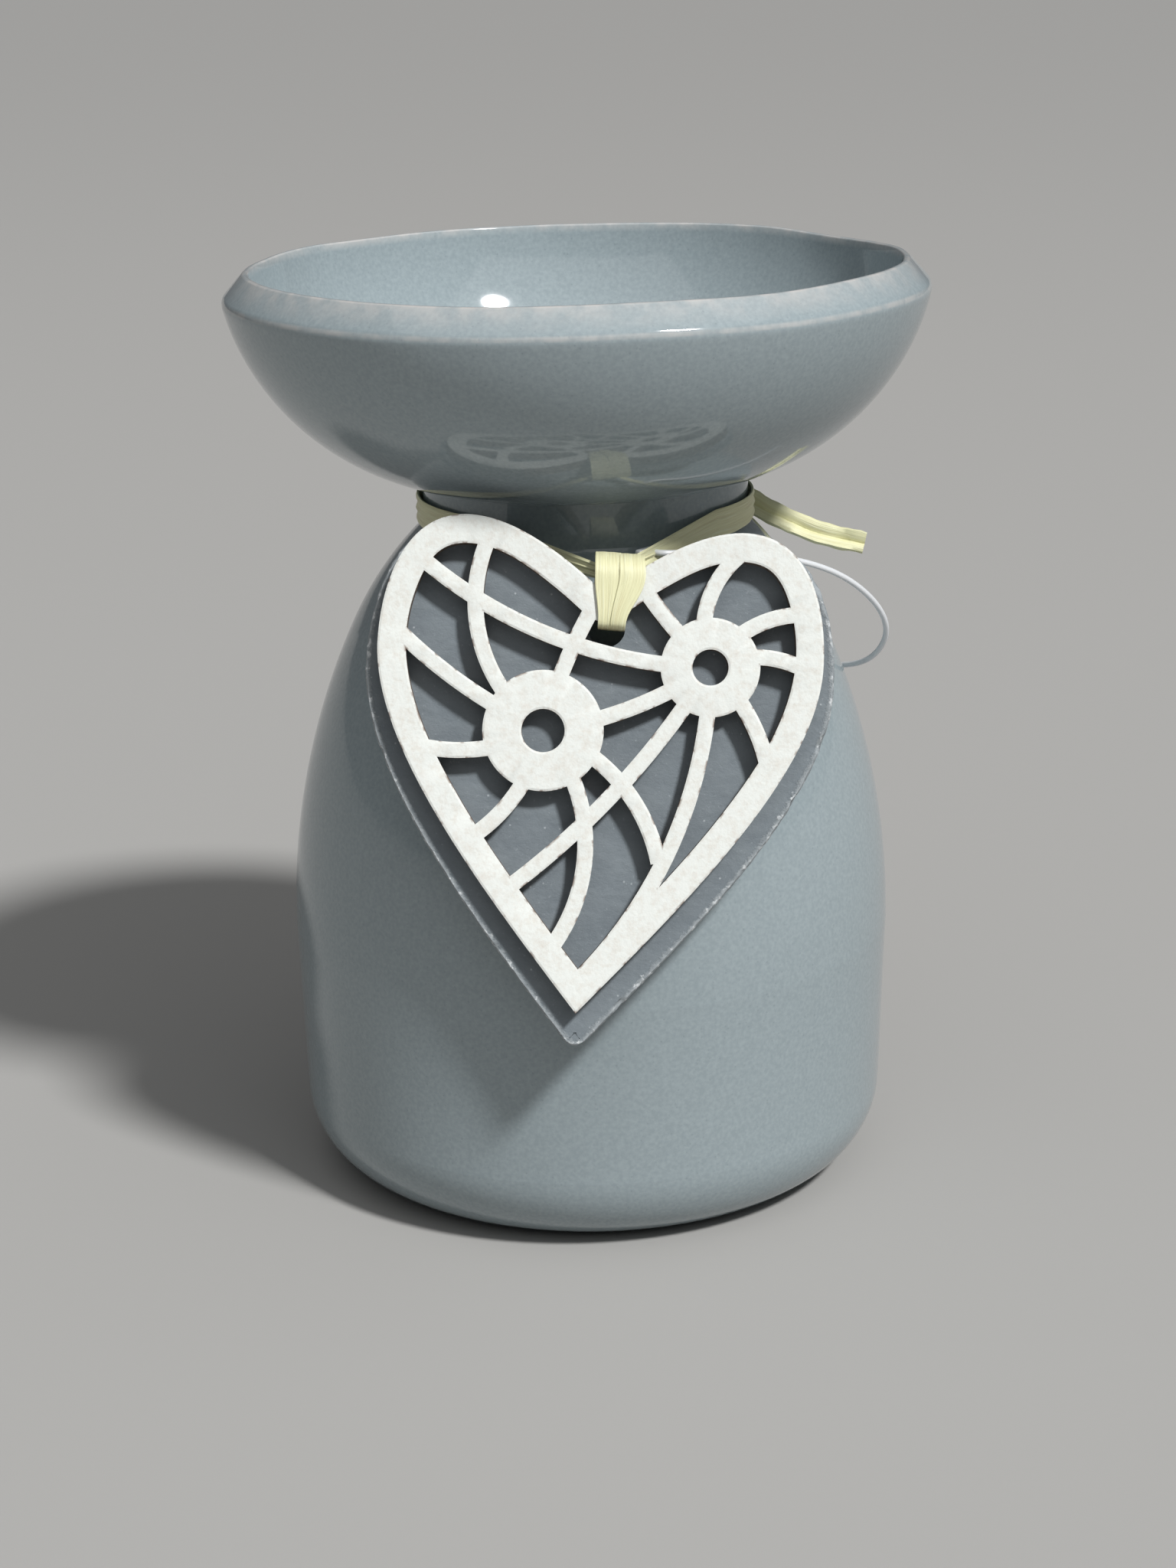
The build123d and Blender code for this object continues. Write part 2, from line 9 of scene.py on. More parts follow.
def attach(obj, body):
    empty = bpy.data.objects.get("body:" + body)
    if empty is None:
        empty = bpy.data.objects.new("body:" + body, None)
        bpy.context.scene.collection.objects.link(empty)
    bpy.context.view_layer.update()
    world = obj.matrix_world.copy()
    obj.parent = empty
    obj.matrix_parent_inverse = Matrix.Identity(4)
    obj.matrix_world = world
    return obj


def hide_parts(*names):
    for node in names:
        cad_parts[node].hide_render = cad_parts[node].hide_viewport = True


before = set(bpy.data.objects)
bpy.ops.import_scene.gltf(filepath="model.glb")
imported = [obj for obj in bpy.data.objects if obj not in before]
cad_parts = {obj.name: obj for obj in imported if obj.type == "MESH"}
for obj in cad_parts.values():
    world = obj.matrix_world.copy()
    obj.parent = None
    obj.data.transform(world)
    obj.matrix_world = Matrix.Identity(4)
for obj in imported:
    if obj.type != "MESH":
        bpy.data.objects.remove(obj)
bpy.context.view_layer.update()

# Burner body: a slip-cast stoneware dome, dipped in a grey-blue gloss glaze and fired on its flat foot.
# Fine grains mottle the glaze, and it thins to a warm line on the edge of the rear arch, which was cut
# and sponged by hand before firing. The neck on top carries the bowl.
glaze_colour = (0.262, 0.312, 0.330, 1)
glaze_grain_colour = (0.305, 0.358, 0.376, 1)
glaze_speck_colour = (0.170, 0.208, 0.225, 1)
thin_glaze_colour = (0.47, 0.41, 0.37, 1)
glaze_grain_size = 0.0006
glaze_speck_size = 0.0008
glaze_speck_share = 0.35
glaze_pool_size = 0.022
glaze_ripple_size = 0.009
glaze_ripple_depth = 0.0004
glaze_refraction = 1.52
arch_half_width = 0.027
arch_spring = 0.028
arch_edge_round = 0.0004
arch_line_core = 0.0003
arch_line_reach = 0.0012
arch_depth_from = 0.030
arch_depth_to = 0.032
thin_patch_size = 0.004


def add_node(material, kind, **values):
    made = material.node_tree.nodes.new("ShaderNode" + kind)
    for name, value in values.items():
        made.inputs[name].default_value = value
    return made


def feed(material, source, socket):
    if isinstance(source, bpy.types.NodeSocket):
        material.node_tree.links.new(source, socket)
    else:
        socket.default_value = source


def lay_over(material, below, above, amount):
    mixed = add_node(material, "Mix")
    mixed.data_type = "RGBA"
    feed(material, below, mixed.inputs[6])
    feed(material, above, mixed.inputs[7])
    feed(material, amount, mixed.inputs[0])
    return mixed.outputs[2]


def reckon(material, operation, first, second=0.0):
    sum_node = add_node(material, "Math")
    sum_node.operation = operation
    feed(material, first, sum_node.inputs[0])
    feed(material, second, sum_node.inputs[1])
    return sum_node.outputs[0]


def spread(material, source, low, high, at_low=0.0, at_high=1.0):
    ranged = add_node(material, "MapRange")
    feed(material, source, ranged.inputs["Value"])
    for name, value in (("From Min", low), ("From Max", high), ("To Min", at_low), ("To Max", at_high)):
        ranged.inputs[name].default_value = value
    return ranged.outputs[0]


def grain(material, where, size, detail=2.0, roughness=0.5):
    clouds = add_node(material, "TexNoise", Scale=1 / size, Detail=detail, Roughness=roughness)
    feed(material, where, clouds.inputs["Vector"])
    return clouds.outputs[0]


def emboss(material, height, depth, strength):
    relief = add_node(material, "Bump", Distance=depth, Strength=strength)
    feed(material, height, relief.inputs["Height"])
    return relief.outputs[0]


def new_finish(name):
    material = bpy.data.materials.new(name)
    material.use_nodes = True
    return material, material.node_tree.nodes["Principled BSDF"]


def glaze_finish(name):
    material, shader = new_finish(name)
    where = add_node(material, "TexCoord").outputs["Object"]
    mottle = spread(material, grain(material, where, glaze_grain_size, 3), 0.35, 0.7)
    colour = lay_over(material, glaze_colour, glaze_grain_colour, mottle)
    specks = add_node(material, "TexVoronoi", Scale=1 / glaze_speck_size)
    feed(material, where, specks.inputs["Vector"])
    near_speck = spread(material, specks.outputs["Distance"], 0.1, 0.24, 1, 0)
    chosen = spread(material, specks.outputs["Color"], 0.6, 0.66)
    speck = reckon(material, "MULTIPLY", near_speck, chosen)
    speck = reckon(material, "MULTIPLY", speck, glaze_speck_share)
    colour = lay_over(material, colour, glaze_speck_colour, speck)
    pools = spread(material, grain(material, where, glaze_pool_size, 2), 0.3, 0.7, 0.05, 0.1)
    feed(material, pools, shader.inputs["Roughness"])
    ripple = grain(material, where, glaze_ripple_size, 1)
    feed(material, emboss(material, ripple, glaze_ripple_depth, 0.06), shader.inputs["Normal"])
    shader.inputs["IOR"].default_value = glaze_refraction
    return material, shader, where, colour


body_glaze, body_shader, body_where, body_colour = glaze_finish("dome_glaze")
axes = add_node(body_glaze, "SeparateXYZ")
feed(body_glaze, body_where, axes.inputs[0])
arch_across = reckon(body_glaze, "ABSOLUTE", axes.outputs["X"])
above_spring = reckon(body_glaze, "SUBTRACT", axes.outputs["Z"], arch_spring)
arch_rise = reckon(body_glaze, "MAXIMUM", above_spring, 0)
across_squared = reckon(body_glaze, "MULTIPLY", arch_across, arch_across)
rise_squared = reckon(body_glaze, "MULTIPLY", arch_rise, arch_rise)
arch_reach = reckon(body_glaze, "SQRT", reckon(body_glaze, "ADD", across_squared, rise_squared))
past_edge = reckon(body_glaze, "SUBTRACT", arch_reach, arch_half_width + arch_edge_round)
from_edge = reckon(body_glaze, "ABSOLUTE", past_edge)
at_edge = spread(body_glaze, from_edge, arch_line_core, arch_line_reach, 0.8, 0)
at_back = spread(body_glaze, axes.outputs["Y"], arch_depth_from, arch_depth_to)
thin_patches = spread(body_glaze, grain(body_glaze, body_where, thin_patch_size, 2), 0.35, 0.6, 0.3, 1)
arch_line = reckon(body_glaze, "MULTIPLY", at_edge, at_back)
arch_line = reckon(body_glaze, "MULTIPLY", arch_line, thin_patches)
body_tone = lay_over(body_glaze, body_colour, thin_glaze_colour, arch_line)
feed(body_glaze, body_tone, body_shader.inputs["Base Color"])

burner_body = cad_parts["burner_body"]
burner_body.data.materials[0] = body_glaze

# Oil bowl: the same stoneware and glaze, turned with one wall, bevelled outside its lip and luted on the
# neck a little out of true. The rim was trimmed by hand, so it wavers, sinks a little at the right of
# the back, and shows a pale line of clay where the glaze runs thin on its edges.
bowl_place = Matrix.Translation((-0.0005, 0, 0.1082965)) @ Matrix.Rotation(math.radians(-0.7), 4, "Y")
bowl_foot = Vector((0.0253, 0, 0))
bowl_rim = Vector((0.0525, 0, 0.0279))
bowl_outer_arc = 0.0372
bowl_well = Vector((0.0162, 0, 0.00367))
bowl_wall = 0.00494
lip_height = 0.0318
lip_width = 0.0008
rim_waver = 0.00045
rim_waver_scale = 2.1
rim_ripple_scale = 6.5
rim_sink = 0.00042
rim_sink_from = math.radians(51)
rim_sink_to = math.radians(38)
rim_rise_from = math.radians(32)
rim_rise_to = math.radians(4)
rim_work_from = 0.016
rim_work_reach = 0.014
bowl_foot_round = 0.0008
rim_round = 0.0009
lip_round = 0.0003
bowl_outer_steps = 30
bowl_inner_steps = 34
bowl_turn_steps = 240
thin_reach = 0.0006
rim_patch_size = 0.003
rim_line_colour = (0.58, 0.54, 0.51, 1)


def run_on(shape, end, place):
    made = bmesh.ops.extrude_vert_indiv(shape, verts=[end])["verts"][0]
    made.co = place
    return made


def swing_on(shape, end, centre, sweep, steps):
    axis = (0, -1, 0) if sweep > 0 else (0, 1, 0)
    made = bmesh.ops.spin(shape, geom=[end], cent=centre, axis=axis, angle=abs(sweep), steps=steps)
    return [g for g in made["geom_last"] if isinstance(g, bmesh.types.BMVert)][0]


def turn(shape, steps):
    outline = shape.verts[:] + shape.edges[:]
    bmesh.ops.spin(
        shape, geom=outline, cent=(0, 0, 0), axis=(0, 0, 1), angle=2 * math.pi, steps=steps, use_merge=True
    )
    bmesh.ops.remove_doubles(shape, verts=shape.verts, dist=1e-7)
    bmesh.ops.recalc_face_normals(shape, faces=shape.faces)


def round_ring(shape, place, radius, segments):
    ring = [
        e
        for e in shape.edges
        if all(abs(math.hypot(v.co.x, v.co.y) - place.x) + abs(v.co.z - place.z) < 1e-6 for v in e.verts)
    ]
    bmesh.ops.bevel(
        shape, geom=ring, offset=radius, affect="EDGES", segments=segments, profile=0.5, material=-1
    )


def as_piece(name, shape, *finishes, crease=40):
    mesh = bpy.data.meshes.new(name)
    shape.to_mesh(mesh)
    shape.free()
    for finish in finishes:
        mesh.materials.append(finish)
    mesh.shade_smooth()
    mesh.set_sharp_from_angle(angle=math.radians(crease))
    piece = bpy.data.objects.new(name, mesh)
    bpy.context.scene.collection.objects.link(piece)
    return piece


outer_chord = bowl_rim - bowl_foot
outer_depth = math.sqrt(bowl_outer_arc**2 - outer_chord.length_squared / 4)
outer_inward = Vector((-outer_chord.z, 0, outer_chord.x)).normalized()
outer_centre = (bowl_rim + bowl_foot) / 2 + outer_inward * outer_depth
outer_sweep = 2 * math.asin(outer_chord.length / 2 / bowl_outer_arc)
inner_rise = bowl_rim.z - bowl_well.z
inner_arc = ((bowl_rim.x - bowl_wall - bowl_well.x) ** 2 + inner_rise**2) / (2 * inner_rise)
inner_centre = bowl_well + Vector((0, 0, inner_arc))
lip_rise = lip_height - inner_centre.z
lip_inner = Vector((bowl_well.x + math.sqrt(inner_arc**2 - lip_rise**2), 0, lip_height))
lip_outer = lip_inner + Vector((lip_width, 0, 0))
inner_sweep = math.pi / 2 + math.asin(lip_rise / inner_arc)

bowl_shape = bmesh.new()
bowl_end = bowl_shape.verts.new((0, 0, 0))
bowl_end = run_on(bowl_shape, bowl_end, bowl_foot)
bowl_end = swing_on(bowl_shape, bowl_end, outer_centre, outer_sweep, bowl_outer_steps)
bowl_end = run_on(bowl_shape, bowl_end, lip_outer)
bowl_end = run_on(bowl_shape, bowl_end, lip_inner)
bowl_end = swing_on(bowl_shape, bowl_end, inner_centre, -inner_sweep, bowl_inner_steps)
bowl_end = run_on(bowl_shape, bowl_end, (0, 0, bowl_well.z))
turn(bowl_shape, bowl_turn_steps)
round_ring(bowl_shape, bowl_foot, bowl_foot_round, 3)
round_ring(bowl_shape, bowl_rim, rim_round, 5)
round_ring(bowl_shape, lip_outer, lip_round, 3)
round_ring(bowl_shape, lip_inner, lip_round, 3)


def ease(start, end, value):
    share = max(0.0, min(1.0, (value - start) / (end - start)))
    return share * share * (3 - 2 * share)


thin_layer = bowl_shape.verts.layers.float.new("thin_glaze")
for v in bowl_shape.verts:
    section_place = Vector((math.hypot(v.co.x, v.co.y), 0, v.co.z))
    to_edge = min((section_place - edge).length for edge in (bowl_rim, lip_outer, lip_inner))
    v[thin_layer] = max(0.0, 1 - to_edge / thin_reach)
    bearing = math.atan2(v.co.y, v.co.x)
    near_rim = max(0.0, min(1.0, (v.co.z - rim_work_from) / rim_work_reach)) ** 2
    outward = Vector((math.cos(bearing), math.sin(bearing), 0))
    waver = 0.5 + 0.5 * noise.noise(rim_waver_scale * outward + Vector((0, 0, 0.4)))
    ripple = 0.5 + 0.5 * noise.noise(rim_ripple_scale * outward + Vector((0, 0, 3.1)))
    sink = ease(rim_sink_from, rim_sink_to, bearing) - ease(rim_rise_from, rim_rise_to, bearing)
    v.co.z -= near_rim * (rim_waver * waver + 0.15 * rim_waver * ripple + rim_sink * sink)
    v.co -= outward * near_rim * rim_waver * (0.6 * ripple + 0.4 * waver)
bowl_shape.transform(bowl_place)

bowl_glaze, bowl_shader, bowl_where, bowl_colour = glaze_finish("bowl_glaze")
edge_thin = add_node(bowl_glaze, "Attribute")
edge_thin.attribute_name = "thin_glaze"
rim_patches = spread(bowl_glaze, grain(bowl_glaze, bowl_where, rim_patch_size, 3), 0.38, 0.62, 0.3, 0.85)
rim_thin = reckon(bowl_glaze, "MULTIPLY", edge_thin.outputs["Fac"], rim_patches)
bowl_tone = lay_over(bowl_glaze, bowl_colour, rim_line_colour, rim_thin)
feed(bowl_glaze, bowl_tone, bowl_shader.inputs["Base Color"])

bowl_piece = as_piece("oil_bowl_turned", bowl_shape, bowl_glaze, crease=50)
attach(bowl_piece, "burner")
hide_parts("oil_bowl")

# Tealight cup: thin aluminium, deep-drawn, with faint drawing flutes round its wall and a rolled edge.
# It stands loose on the chamber's floor, right under the bowl.
chamber_floor = Vector((0, 0, 0.005))
cup_radius = 0.019
cup_wall = 0.0004
cup_bead = 0.00045
cup_bead_height = 0.01455
cup_corner = 0.0008
cup_ring_heights = (0.0018, 0.0032, 0.0065, 0.0098, 0.0116, 0.0128)
cup_turn_steps = 288
cup_flutes = 36
cup_flute_depth = 0.00014
cup_flute_foot = 0.0025
cup_flute_head = 0.0125
draw_mark_size = 0.0004
draw_mark_depth = 0.0001
cup_colour = (0.78, 0.79, 0.80, 1)

cup_shape = bmesh.new()
cup_end = cup_shape.verts.new((0, 0, 0))
cup_end = run_on(cup_shape, cup_end, (cup_radius, 0, 0))
for height in cup_ring_heights:
    cup_end = run_on(cup_shape, cup_end, (cup_radius, 0, height))
cup_end = run_on(cup_shape, cup_end, (cup_radius, 0, cup_bead_height - cup_bead))
cup_end = swing_on(cup_shape, cup_end, (cup_radius, 0, cup_bead_height), 1.5 * math.pi, 9)
cup_end = run_on(cup_shape, cup_end, (cup_radius - cup_wall, 0, cup_wall))
cup_end = run_on(cup_shape, cup_end, (0, 0, cup_wall))
turn(cup_shape, cup_turn_steps)
round_ring(cup_shape, Vector((cup_radius, 0, 0)), cup_corner, 3)
for v in cup_shape.verts:
    reach = math.hypot(v.co.x, v.co.y)
    if cup_flute_foot < v.co.z < cup_flute_head and reach > cup_radius - cup_wall / 4:
        flute_wave = 0.5 - 0.5 * math.cos(cup_flutes * math.atan2(v.co.y, v.co.x))
        drawn = 1 - cup_flute_depth * flute_wave / reach
        v.co.x *= drawn
        v.co.y *= drawn
bmesh.ops.translate(cup_shape, vec=chamber_floor, verts=cup_shape.verts)

cup_finish, cup_shader = new_finish("drawn_aluminium")
cup_where = add_node(cup_finish, "TexCoord").outputs["Object"]
cup_stretch = add_node(cup_finish, "Mapping", Scale=(1, 1, 0.08))
feed(cup_finish, cup_where, cup_stretch.inputs["Vector"])
draw_marks = grain(cup_finish, cup_stretch.outputs[0], draw_mark_size, 2)
feed(cup_finish, spread(cup_finish, draw_marks, 0.3, 0.7, 0.24, 0.42), cup_shader.inputs["Roughness"])
feed(cup_finish, emboss(cup_finish, draw_marks, draw_mark_depth, 0.15), cup_shader.inputs["Normal"])
cup_shader.inputs["Base Color"].default_value = cup_colour
cup_shader.inputs["Metallic"].default_value = 1

cup_piece = as_piece("tealight_cup_drawn", cup_shape, cup_finish, crease=50)
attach(cup_piece, "candle")
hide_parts("tealight_cup")

# Wax: poured hot into the cup round the wick, so it climbs a little at the wall and at the wick, and
# sinks between them as it sets.
wax_radius = 0.0185
wax_level = 0.0123
wax_climb = 0.0006
wax_skin = (
    (1, 1.0),
    (0.975, 0.45),
    (0.93, 0.1),
    (0.8, 0),
    (0.5, -0.1),
    (0.25, 0),
    (0.12, 0.2),
    (0.05, 0.9),
)
wax_turn_steps = 96
wax_cloud_size = 0.004
wax_cloud_depth = 0.0002
wax_colour = (0.86, 0.84, 0.78, 1)
wax_cloud_colour = (0.80, 0.78, 0.71, 1)

wax_shape = bmesh.new()
wax_end = wax_shape.verts.new((0, 0, cup_wall))
wax_end = run_on(wax_shape, wax_end, (wax_radius, 0, cup_wall))
for reach, climb in wax_skin:
    wax_end = run_on(wax_shape, wax_end, (wax_radius * reach, 0, wax_level + wax_climb * climb))
wax_end = run_on(wax_shape, wax_end, (0, 0, wax_level + wax_climb))
turn(wax_shape, wax_turn_steps)
bmesh.ops.translate(wax_shape, vec=chamber_floor, verts=wax_shape.verts)

wax_finish, wax_shader = new_finish("white_wax")
wax_where = add_node(wax_finish, "TexCoord").outputs["Object"]
wax_clouds = spread(wax_finish, grain(wax_finish, wax_where, wax_cloud_size, 4), 0.35, 0.7)
wax_tone = lay_over(wax_finish, wax_colour, wax_cloud_colour, wax_clouds)
feed(wax_finish, wax_tone, wax_shader.inputs["Base Color"])
feed(wax_finish, spread(wax_finish, wax_clouds, 0, 1, 0.38, 0.55), wax_shader.inputs["Roughness"])
feed(wax_finish, emboss(wax_finish, wax_clouds, wax_cloud_depth, 0.2), wax_shader.inputs["Normal"])

wax_piece = as_piece("tealight_wax_poured", wax_shape, wax_finish)
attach(wax_piece, "candle")
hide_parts("tealight_wax")

# Wick: braided cotton, stiffened with wax. It stands in the collar of a stamped tinplate sustainer,
# which sits on the cup's floor inside the wax.
wick_foot = Vector((0, 0, 0.0058))
wick_radius = 0.00072
wick_length = 0.0169
wick_steps = 17
wick_drift = 0.000225
wick_strand_swell = 0.05
wick_braid_scale = 1100
wick_braid_depth = 0.0002
wick_colour = (0.80, 0.78, 0.70, 1)
# Painted shade: a darker colour laid in the braid's grooves, between the strands.
wick_groove_shade_colour = (0.56, 0.53, 0.45, 1)
tinplate_colour = (0.62, 0.62, 0.61, 1)
tin_bloom_size = 0.0008

wick_shape = bmesh.new()
bmesh.ops.create_circle(
    wick_shape, cap_ends=True, radius=wick_radius, segments=12, matrix=Matrix.Translation(wick_foot)
)
wick_edges = wick_shape.edges[:]
for step in range(wick_steps):
    made = bmesh.ops.extrude_edge_only(wick_shape, edges=wick_edges)["geom"]
    wick_edges = [g for g in made if isinstance(g, bmesh.types.BMEdge)]
    wick_ring = [g for g in made if isinstance(g, bmesh.types.BMVert)]
    drift = wick_drift * (step / wick_steps) ** 3
    bmesh.ops.translate(wick_shape, vec=(drift, 0, wick_length / wick_steps), verts=wick_ring)
    girth = 1 + wick_strand_swell if step % 2 else 1 - wick_strand_swell
    middle = sum((v.co for v in wick_ring), Vector()) / len(wick_ring)
    bmesh.ops.scale(wick_shape, vec=(girth, girth, 1), space=Matrix.Translation(-middle), verts=wick_ring)
bmesh.ops.edgeloop_fill(wick_shape, edges=wick_edges)
bmesh.ops.recalc_face_normals(wick_shape, faces=wick_shape.faces)

wick_finish, wick_shader = new_finish("cotton_braid")
wick_where = add_node(wick_finish, "TexCoord").outputs["Object"]
wick_slant = add_node(wick_finish, "Mapping", Rotation=(0.7, 0.5, 0))
feed(wick_finish, wick_where, wick_slant.inputs["Vector"])
wick_braid = add_node(wick_finish, "TexWave", Scale=wick_braid_scale, Distortion=1.5)
feed(wick_finish, wick_slant.outputs[0], wick_braid.inputs["Vector"])
# The braid's grooves get the darker colour, painted shade between the strands; the crests keep the cotton's
# own colour.
wick_strands_and_shade = lay_over(wick_finish, wick_groove_shade_colour, wick_colour, wick_braid.outputs["Fac"])
feed(wick_finish, wick_strands_and_shade, wick_shader.inputs["Base Color"])
wick_relief = emboss(wick_finish, wick_braid.outputs["Fac"], wick_braid_depth, 0.6)
feed(wick_finish, wick_relief, wick_shader.inputs["Normal"])
wick_shader.inputs["Roughness"].default_value = 0.75

wick_piece = as_piece("tealight_wick_braided", wick_shape, wick_finish, crease=60)
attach(wick_piece, "candle")
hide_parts("tealight_wick")

tinplate, tinplate_shader = new_finish("stamped_tinplate")
tinplate_where = add_node(tinplate, "TexCoord").outputs["Object"]
tin_bloom = grain(tinplate, tinplate_where, tin_bloom_size, 3)
feed(tinplate, spread(tinplate, tin_bloom, 0.3, 0.7, 0.3, 0.5), tinplate_shader.inputs["Roughness"])
tinplate_shader.inputs["Base Color"].default_value = tinplate_colour
tinplate_shader.inputs["Metallic"].default_value = 1
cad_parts["wick_sustainer"].data.materials[0] = tinplate

# Slate heart: a riven slate plate, cut to a heart and left with a rough, flaked edge. One hole under the
# notch takes the raffia. It hangs against the dome, so it leans back with it and has swung a little.
dome_lean = math.radians(17.459)
heart_turn = math.radians(-4.8)
heart_tip = Vector((-0.0024, -0.050919, 0.041567))
heart_place = (
    Matrix.Translation(heart_tip)
    @ Matrix.Rotation(math.pi / 2 - dome_lean, 4, "X")
    @ Matrix.Rotation(heart_turn, 4, "Z")
)
heart_notch = Vector((0, 0.0582, 0))
heart_widest = Vector((0.0309, 0.0498, 0))
notch_lead = Vector((0.02405, 0.02018, 0))
lobe_lead = 0.0129
flank_lead = 0.0146
tip_lead = Vector((0.01397, 0.01608, 0))
slate_margin = 0.0019
slate_shift = Vector((0.0001, -0.0030, 0))
slate_thickness = 0.004
slate_hole = Vector((0.0006, 0.05355, 0))
slate_hole_radius = 0.0026
slate_middle = Vector((0, 0.036, 0))
slate_line_steps = 150
slate_lobe_share = 0.98
slate_flake = 0.0004
slate_rough_scale = 700
slate_nick_scale = 330
slate_nick_level = 0.38
slate_wall_flaked = 0.8
# The rings that climb the slate's edge and turn in on its face: step in, height, and how flaked it is there.
slate_rings = (
    (0.0, 0.0010, slate_wall_flaked),
    (0.0, 0.0020, slate_wall_flaked),
    (0.0, 0.0030, slate_wall_flaked),
    (0.00006, 0.0036, 0.95),
    (0.00026, slate_thickness, 1.0),
    (0.0009, slate_thickness, 0.72),
    (0.0020, slate_thickness, 0.0),
)
slate_colour = (0.148, 0.175, 0.194, 1)
slate_vein_colour = (0.192, 0.222, 0.240, 1)
slate_fleck_colour = (0.50, 0.54, 0.56, 1)
slate_edge_colour = (0.30, 0.33, 0.345, 1)
slate_chip_colour = (0.60, 0.63, 0.64, 1)
slate_layer_size = 0.005
slate_grit_size = 0.0012
slate_dust_size = 0.0005
slate_flake_size = 0.0007
slate_chip_size = 0.0011
slate_relief_depth = 0.0005
up = Vector((0, 0, 1))


def facing_left(place):
    return Vector((-place.x, place.y, 0))


slate_growth = (heart_widest.x + slate_margin) / heart_widest.x
tip_way = tip_lead.normalized()
tip_side = Vector((tip_way.y, -tip_way.x, 0)) * slate_margin
tip_round = tip_way * slate_margin * 4 / 3 * math.tan(math.atan2(tip_way.x, tip_way.y) / 2)
notch_place = heart_notch + Vector((0, slate_margin * notch_lead.length / notch_lead.x, 0))
notch_away = notch_lead * slate_growth
side_place = heart_widest + Vector((slate_margin, 0, 0))
over = Vector((0, lobe_lead + slate_margin, 0)) * slate_lobe_share
under = Vector((0, -flank_lead * slate_growth, 0))
slate_line = bpy.data.curves.new("slate_line", "CURVE")
slate_line.dimensions = "3D"
slate_line.resolution_u = slate_line_steps
slate_spline = slate_line.splines.new("BEZIER")
slate_spline.bezier_points.add(4)
slate_spline.use_cyclic_u = True
slate_corners = (
    (notch_place, notch_place + facing_left(notch_away), notch_place + notch_away),
    (side_place, side_place + over, side_place + under),
    (tip_side, tip_side + tip_lead, tip_side - tip_round),
    (facing_left(tip_side), facing_left(tip_side - tip_round), facing_left(tip_side + tip_lead)),
    (facing_left(side_place), facing_left(side_place) + under, facing_left(side_place) + over),
)
for point, (place, before, after) in zip(slate_spline.bezier_points, slate_corners):
    point.handle_left_type = "FREE"
    point.handle_right_type = "FREE"
    point.co = place
    point.handle_left = before
    point.handle_right = after
slate_draft = bpy.data.objects.new("slate_line", slate_line)
slate_rail = bpy.data.meshes.new_from_object(slate_draft)
bpy.data.objects.remove(slate_draft)

slate_shape = bmesh.new()
slate_shape.from_mesh(slate_rail)
bmesh.ops.remove_doubles(slate_shape, verts=slate_shape.verts, dist=1e-6)
bmesh.ops.translate(slate_shape, vec=slate_shift, verts=slate_shape.verts)
flaked_layer = slate_shape.verts.layers.float.new("flaked")
slate_edges = slate_shape.edges[:]
for v in slate_shape.verts:
    v[flaked_layer] = slate_wall_flaked


def cut_round(shape, place, radius):
    ring = bmesh.ops.create_circle(
        shape, cap_ends=False, radius=radius, segments=32, matrix=Matrix.Translation(place)
    )["verts"]
    return list(dict.fromkeys(e for v in ring for e in v.link_edges))


back_hole = cut_round(slate_shape, slate_hole, slate_hole_radius)
bmesh.ops.triangle_fill(slate_shape, use_beauty=True, edges=slate_edges + back_hole, normal=(0, 0, -1))
gone_in, gone_up = 0.0, 0.0
for inset, rise, flaked_share in slate_rings:
    made = bmesh.ops.extrude_edge_only(slate_shape, edges=slate_edges)["geom"]
    slate_edges = [g for g in made if isinstance(g, bmesh.types.BMEdge)]
    on_ring = set(slate_edges)
    steps_in = {}
    for v in (g for g in made if isinstance(g, bmesh.types.BMVert)):
        before, after = (e.other_vert(v).co for e in v.link_edges if e in on_ring)
        inward = (after - before).cross(up).normalized()
        steps_in[v] = inward if inward.dot(slate_middle - v.co) > 0 else -inward
    for v, inward in steps_in.items():
        v.co += inward * (inset - gone_in) + up * (rise - gone_up)
        v[flaked_layer] = flaked_share
    gone_in, gone_up = inset, rise
front_hole = cut_round(slate_shape, slate_hole + up * slate_thickness, slate_hole_radius)
bmesh.ops.triangle_fill(slate_shape, use_beauty=True, edges=slate_edges + front_hole, normal=(0, 0, 1))
bmesh.ops.bridge_loops(slate_shape, edges=back_hole + front_hole)
bmesh.ops.recalc_face_normals(slate_shape, faces=slate_shape.faces)
for v in slate_shape.verts:
    if v[flaked_layer] >= slate_wall_flaked - 0.01:
        inward = slate_middle - Vector((v.co.x, v.co.y, 0))
        rough = 0.5 + 0.5 * noise.noise(v.co * slate_rough_scale)
        nick = max(0.0, noise.noise(v.co * slate_nick_scale + Vector((2, 9, 4))) - slate_nick_level)
        v.co += inward.normalized() * slate_flake * (0.5 * rough + 3 * nick)
        v.co.z -= slate_flake * (0.25 * rough + 3 * nick) * v.co.z / slate_thickness
slate_shape.transform(heart_place)

slate_finish, slate_shader = new_finish("riven_slate")
slate_where = add_node(slate_finish, "TexCoord").outputs["Object"]
slate_cleft = add_node(
    slate_finish, "Mapping", Rotation=(math.pi / 2 - dome_lean, 0, 0), Scale=(1, 1, 1.4)
)
feed(slate_finish, slate_where, slate_cleft.inputs["Vector"])
slate_layers = grain(slate_finish, slate_cleft.outputs[0], slate_layer_size, 7, 0.68)
slate_veins = spread(slate_finish, slate_layers, 0.35, 0.7)
slate_tone = lay_over(slate_finish, slate_colour, slate_vein_colour, slate_veins)
slate_grit = add_node(slate_finish, "TexVoronoi", Scale=1 / slate_grit_size)
feed(slate_finish, slate_where, slate_grit.inputs["Vector"])
grit_near = spread(slate_finish, slate_grit.outputs["Distance"], 0.06, 0.16, 1, 0)
grit_chosen = spread(slate_finish, slate_grit.outputs["Color"], 0.72, 0.76)
slate_flecks = reckon(slate_finish, "MULTIPLY", grit_near, grit_chosen)
